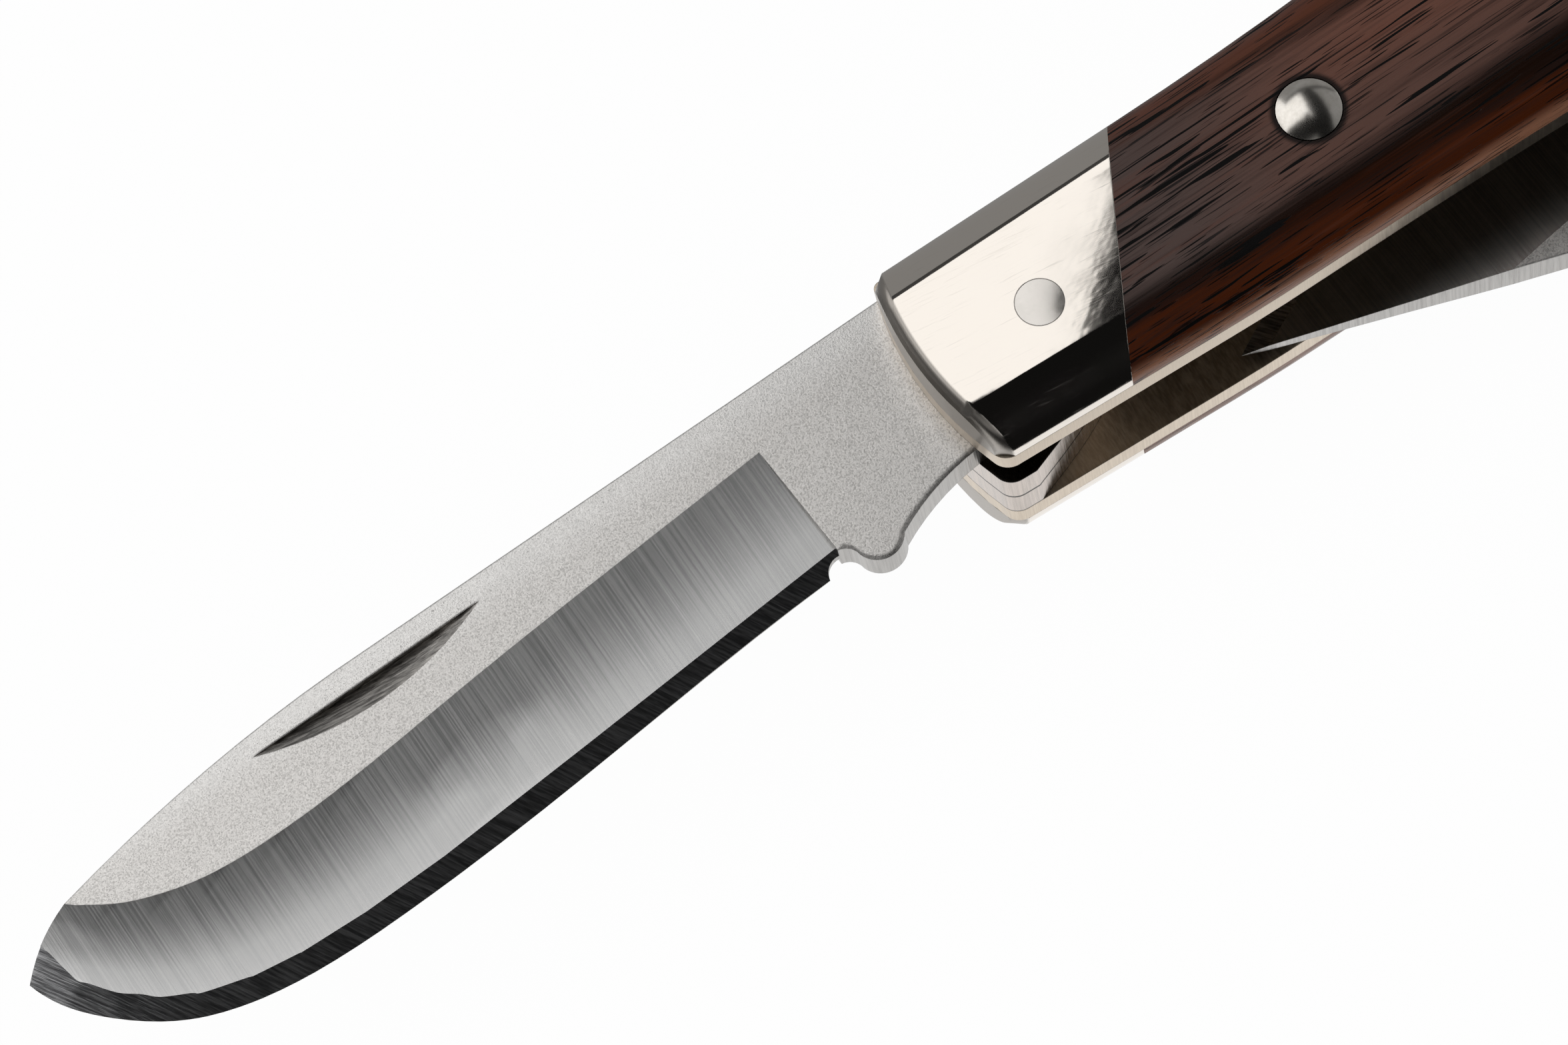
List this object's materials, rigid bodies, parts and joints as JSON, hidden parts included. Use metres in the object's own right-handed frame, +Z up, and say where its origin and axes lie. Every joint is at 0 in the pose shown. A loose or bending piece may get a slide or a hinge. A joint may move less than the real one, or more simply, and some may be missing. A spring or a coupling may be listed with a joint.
{
  "type": "folding pocket knife",
  "caption": "Slip-joint folding pocket knife with a spey blade open, clip and sheepsfoot blades folded, polished slanted bolsters and dark rosewood scales.",
  "frame": {"origin": "on the flat outer face of the far scale, midway between the two pivots and on the line through them", "axes": "+X along the handle from the open blade's end to the other end, +Y towards the back and the springs, +Z up through the layers from the far side to the near side"},
  "size_m": [0.1487, 0.0186, 0.016],
  "materials": {
    "blade_steel": "tumbled satin flats, ground hollows",
    "spring_steel": "ground",
    "liner_metal": "ground nickel silver",
    "bolster_metal": "polished nickel silver",
    "pin_metal": "polished nickel silver",
    "scale_wood": "semi-gloss dark rosewood"
  },
  "bodies": {
    "handle": {"near_liner": "liner_metal", "far_liner": "liner_metal", "near_front_bolster": "bolster_metal", "near_rear_bolster": "bolster_metal", "far_front_bolster": "bolster_metal", "far_rear_bolster": "bolster_metal", "near_scale": "scale_wood", "far_scale": "scale_wood", "front_pivot_pin": "pin_metal", "rear_pivot_pin": "pin_metal", "spring_pin": "pin_metal", "spey_spring": "spring_steel", "sheepsfoot_spring": "spring_steel", "clip_spring": "spring_steel", "near_front_rivet": "pin_metal", "near_rear_rivet": "pin_metal", "far_front_rivet": "pin_metal", "far_rear_rivet": "pin_metal"},
    "spey": {"spey_blade": "blade_steel"},
    "clip": {"clip_blade": "blade_steel"},
    "sheepsfoot": {"sheepsfoot_blade": "blade_steel"}
  },
  "joints": [
    {"name": "spey_fold", "type": "hinge", "parent": "handle", "child": "spey", "pos_m": [-0.0425, 0, 0], "axis": [0, 0, 1], "range_deg": [0, 169], "deforming": ["spey_spring"]},
    {"name": "clip_fold", "type": "hinge", "parent": "handle", "child": "clip", "pos_m": [0.0425, 0, 0], "axis": [0, 0, 1], "range_deg": [0, 176], "deforming": ["clip_spring"]},
    {"name": "sheepsfoot_fold", "type": "hinge", "parent": "handle", "child": "sheepsfoot", "pos_m": [0.0425, 0, 0], "axis": [0, 0, 1], "range_deg": [0, 175], "deforming": ["sheepsfoot_spring"]}
  ]
}
